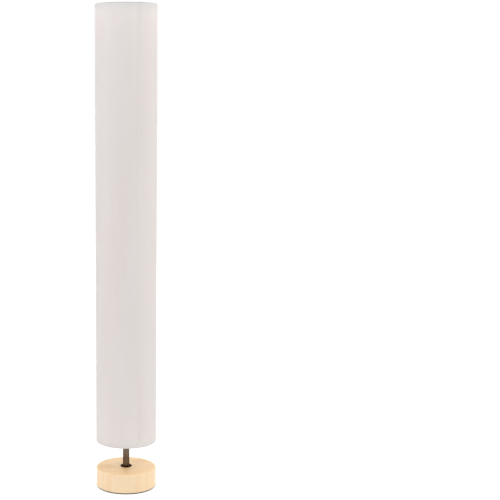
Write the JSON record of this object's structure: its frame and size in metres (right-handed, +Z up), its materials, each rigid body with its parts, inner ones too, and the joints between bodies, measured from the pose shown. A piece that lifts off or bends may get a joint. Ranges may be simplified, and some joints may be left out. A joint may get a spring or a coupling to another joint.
{
  "type": "column floor lamp",
  "caption": "Tall slim floor lamp: a cloth cylinder shade hung on a dark pole that stands in a low round wooden base, with bulbs one above the other inside.",
  "frame": {"origin": "on the floor under the middle of the base, at the bottom centre of the bounding box", "axes": "+Z up along the pole, -Y the side that the picture shows, +Y the side of the cord inlet"},
  "size_m": [0.1499, 0.15, 1.19],
  "materials": {
    "shade_cloth": "slubbed off-white cloth, fine upright threads",
    "shade_film": "stiff translucent film, satin",
    "wood": "pale pine, clear matt lacquer",
    "bronze_paint": "dark bronze, satin",
    "zinc_steel": "bright zinc plate",
    "rim_wire": "white powder coat",
    "brass": "plain turned brass",
    "cast_iron": "rough casting, dark paint",
    "felt": "pressed felt",
    "black_plastic": "moulded, matt",
    "white_plastic": "moulded, satin",
    "bulb_glass": "opal diffuser, satin",
    "cap_nickel": "nickel plate",
    "wire_cover": "soft smooth cover"
  },
  "bodies": {
    "stand": {"felt_pad": "felt", "base_block": "wood", "base_weight": "cast_iron", "base_rod": "zinc_steel", "base_washer": "zinc_steel", "lock_washer": "zinc_steel", "base_nut": "brass", "escutcheon": "bronze_paint", "cord_gland": "black_plastic", "splice_caps": "white_plastic", "neck_tube": "bronze_paint", "lower_tube": "bronze_paint", "middle_tube": "bronze_paint", "upper_tube": "bronze_paint", "tube_inserts": "zinc_steel", "pole_nipples": "zinc_steel", "lower_spacer": "zinc_steel", "lower_bracket": "zinc_steel", "upper_bracket": "zinc_steel", "holder_nipples": "brass", "holder_nuts": "zinc_steel", "lower_holder": "white_plastic", "upper_holder": "white_plastic", "lower_core": "white_plastic", "upper_core": "white_plastic", "lower_screw_shell": "brass", "upper_screw_shell": "brass", "lower_contact": "brass", "upper_contact": "brass", "lead_grommets": "black_plastic", "lower_lead": "wire_cover", "upper_lead": "wire_cover", "top_stud": "zinc_steel"},
    "shade": {"shade_fabric": "shade_cloth", "shade_liner": "shade_film", "top_frame": "rim_wire", "bottom_ring": "rim_wire"},
    "finial": {"finial": "bronze_paint"},
    "lower_bulb": {"lower_bulb_cap": "cap_nickel", "lower_bulb_housing": "white_plastic", "lower_bulb_globe": "bulb_glass"},
    "upper_bulb": {"upper_bulb_cap": "cap_nickel", "upper_bulb_housing": "white_plastic", "upper_bulb_globe": "bulb_glass"}
  },
  "joints": [
    {"name": "shade_lift", "type": "slide", "parent": "stand", "child": "shade", "axis": [0, 0, 1], "range_m": [0, 1.08]},
    {"name": "finial_turn", "type": "hinge", "parent": "shade", "child": "finial", "pos_m": [0, 0, 1.17], "axis": [0, 0, 1], "continuous": true},
    {"name": "lower_bulb_turn", "type": "hinge", "parent": "stand", "child": "lower_bulb", "pos_m": [0.034, 0, 0.33], "axis": [0, 0, 1], "continuous": true},
    {"name": "upper_bulb_turn", "type": "hinge", "parent": "stand", "child": "upper_bulb", "pos_m": [0.034, 0, 0.866], "axis": [0, 0, 1], "continuous": true}
  ]
}
